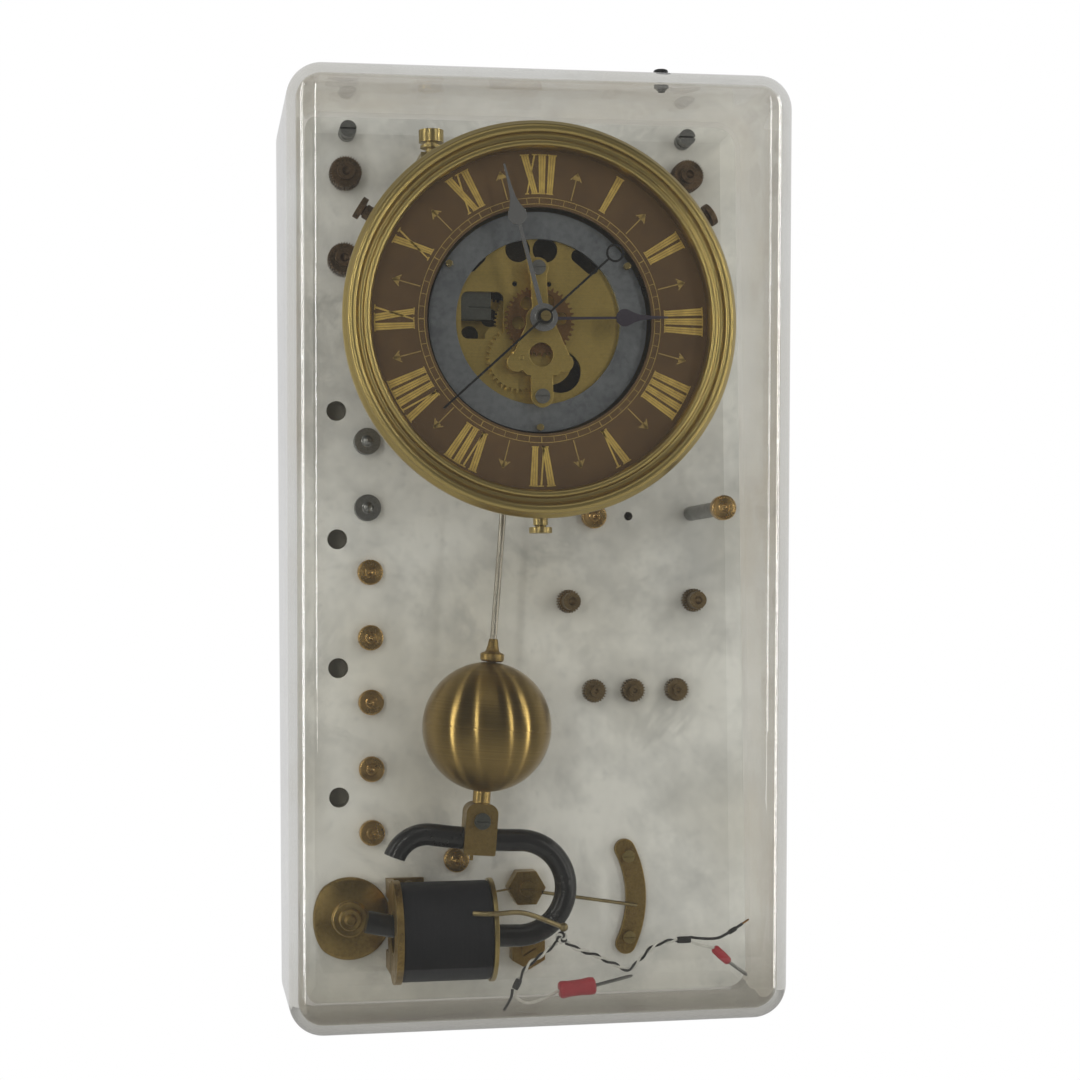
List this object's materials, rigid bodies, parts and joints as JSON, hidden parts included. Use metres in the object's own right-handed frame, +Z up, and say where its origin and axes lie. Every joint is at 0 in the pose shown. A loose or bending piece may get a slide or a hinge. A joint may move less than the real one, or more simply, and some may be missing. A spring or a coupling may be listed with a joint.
{
  "type": "electric wall clock",
  "caption": "Electric pendulum wall clock on a marble slab, with a skeleton dial, a swinging magnet that runs through a coil, slab terminals and a clear draw-off cover.",
  "frame": {"origin": "centre of the marble slab's back face, on the wall", "axes": "+Z up, +Y into the wall, +X to the right of someone who faces the dial"},
  "size_m": [0.218, 0.1238, 0.4146],
  "materials": {
    "marble": "polished, grey veined",
    "clear_acrylic": "clear, polished",
    "black_knob": "glossy",
    "turned_brass": "lathe turned, lacquered",
    "aged_brass": "aged",
    "plate_brass": "brushed",
    "dark_bronze": "oxidised",
    "copper": "satin",
    "dial_brown": "matt",
    "zinc": "dull grey",
    "bright_steel": "polished",
    "grey_steel": "dull",
    "blued_steel": "blued",
    "magnet_black": "satin lacquer",
    "winding_black": "varnished cloth",
    "lead_cloth": "black and white braid",
    "white_wire": "cloth",
    "black_wire": "cloth",
    "red_sleeve": "soft"
  },
  "bodies": {
    "frame": {"marble_slab": "marble", "wall_bolts": "aged_brass", "dial_pillars": "aged_brass", "dial_drum": "turned_brass", "bezel": "turned_brass", "chapter_ring": "dial_brown", "inner_ring": "zinc", "ring_pins": "turned_brass", "back_plate": "plate_brass", "front_plate": "plate_brass", "steel_block": "grey_steel", "front_bridge": "plate_brass", "bridge_screws": "bright_steel", "suspension_cock": "aged_brass", "suspension_spring": "bright_steel", "click_spring": "bright_steel", "lead_post": "aged_brass", "steel_terminals": "grey_steel", "brass_terminals": "aged_brass", "knurled_terminals": "aged_brass", "dark_knobs": "dark_bronze", "long_post": "dark_bronze", "coil_bracket": "aged_brass", "coil_former": "turned_brass", "coil_winding": "winding_black", "slab_screws": "aged_brass", "disc_terminal": "aged_brass", "hex_nuts": "aged_brass", "arc_bar": "aged_brass", "stiff_leads": "copper", "lead_ends": "red_sleeve", "left_pair": "lead_cloth", "right_pair": "lead_cloth", "left_white_wire": "white_wire", "left_black_wire": "black_wire", "right_white_wire": "white_wire", "right_black_wire": "black_wire"},
    "pendulum": {"pendulum_hanger": "aged_brass", "pendulum_rod": "aged_brass", "rod_ferrule": "turned_brass", "pendulum_bob": "turned_brass", "magnet_clamp": "aged_brass", "clamp_screw": "blued_steel", "magnet_bar": "magnet_black"},
    "pawl": {"drive_pawl": "bright_steel"},
    "seconds_train": {"seconds_arbor": "bright_steel", "ratchet_wheel": "copper", "seconds_hand": "grey_steel"},
    "third_train": {"third_wheel": "plate_brass"},
    "minute_train": {"minute_tube": "plate_brass", "centre_wheel": "plate_brass", "minute_hand": "bright_steel"},
    "motion_train": {"minute_wheel": "copper"},
    "hour_train": {"hour_wheel": "copper", "hour_hand": "blued_steel"},
    "cover": {"clear_cover": "clear_acrylic", "cover_knob": "black_knob"},
    "screw_left": {"thumbscrew_left": "dark_bronze"},
    "screw_right": {"thumbscrew_right": "dark_bronze"},
    "screw_bottom": {"thumbscrew_bottom": "turned_brass"}
  },
  "joints": [
    {"name": "pendulum_swing", "type": "hinge", "parent": "frame", "child": "pendulum", "pos_m": [0, -0.045, 0.165], "axis": [0, -1, 0], "range_deg": [-1, 7], "deforming": ["suspension_spring"]},
    {"name": "pawl_hang", "type": "hinge", "parent": "pendulum", "child": "pawl", "pos_m": [-0.00103, -0.0483, 0.15304], "axis": [0, -1, 0], "range_deg": [-7, 1]},
    {"name": "seconds_turn", "type": "hinge", "parent": "frame", "child": "seconds_train", "pos_m": [0, -0.07, 0.1], "axis": [0, 1, 0], "continuous": true},
    {"name": "third_turn", "type": "hinge", "parent": "frame", "child": "third_train", "pos_m": [-0.01879, -0.06, 0.09316], "axis": [0, 1, 0], "continuous": true},
    {"name": "minute_turn", "type": "hinge", "parent": "frame", "child": "minute_train", "pos_m": [0, -0.07, 0.1], "axis": [0, 1, 0], "continuous": true},
    {"name": "motion_turn", "type": "hinge", "parent": "frame", "child": "motion_train", "pos_m": [-0.00869, -0.07, 0.08367], "axis": [0, 1, 0], "continuous": true},
    {"name": "hour_turn", "type": "hinge", "parent": "frame", "child": "hour_train", "pos_m": [0, -0.07, 0.1], "axis": [0, 1, 0], "continuous": true},
    {"name": "cover_draw", "type": "slide", "parent": "frame", "child": "cover", "axis": [0, -1, 0], "range_m": [0, 0.12]},
    {"name": "thumb_left", "type": "hinge", "parent": "frame", "child": "screw_left", "pos_m": [0, -0.07, 0.1], "axis": [-0.848, 0, 0.5299], "continuous": true},
    {"name": "thumb_right", "type": "hinge", "parent": "frame", "child": "screw_right", "pos_m": [0, -0.07, 0.1], "axis": [0.848, 0, 0.5299], "continuous": true},
    {"name": "thumb_bottom", "type": "hinge", "parent": "frame", "child": "screw_bottom", "pos_m": [0, -0.07, 0.1], "axis": [0, 0, -1], "continuous": true}
  ],
  "couplings": [
    {"joint": "pawl_hang", "follows": "pendulum_swing", "ratio": -1},
    {"joint": "third_turn", "follows": "seconds_turn", "ratio": -0.13333},
    {"joint": "minute_turn", "follows": "seconds_turn", "ratio": 0.016667},
    {"joint": "motion_turn", "follows": "seconds_turn", "ratio": -0.0055556},
    {"joint": "hour_turn", "follows": "seconds_turn", "ratio": 0.0013889}
  ]
}
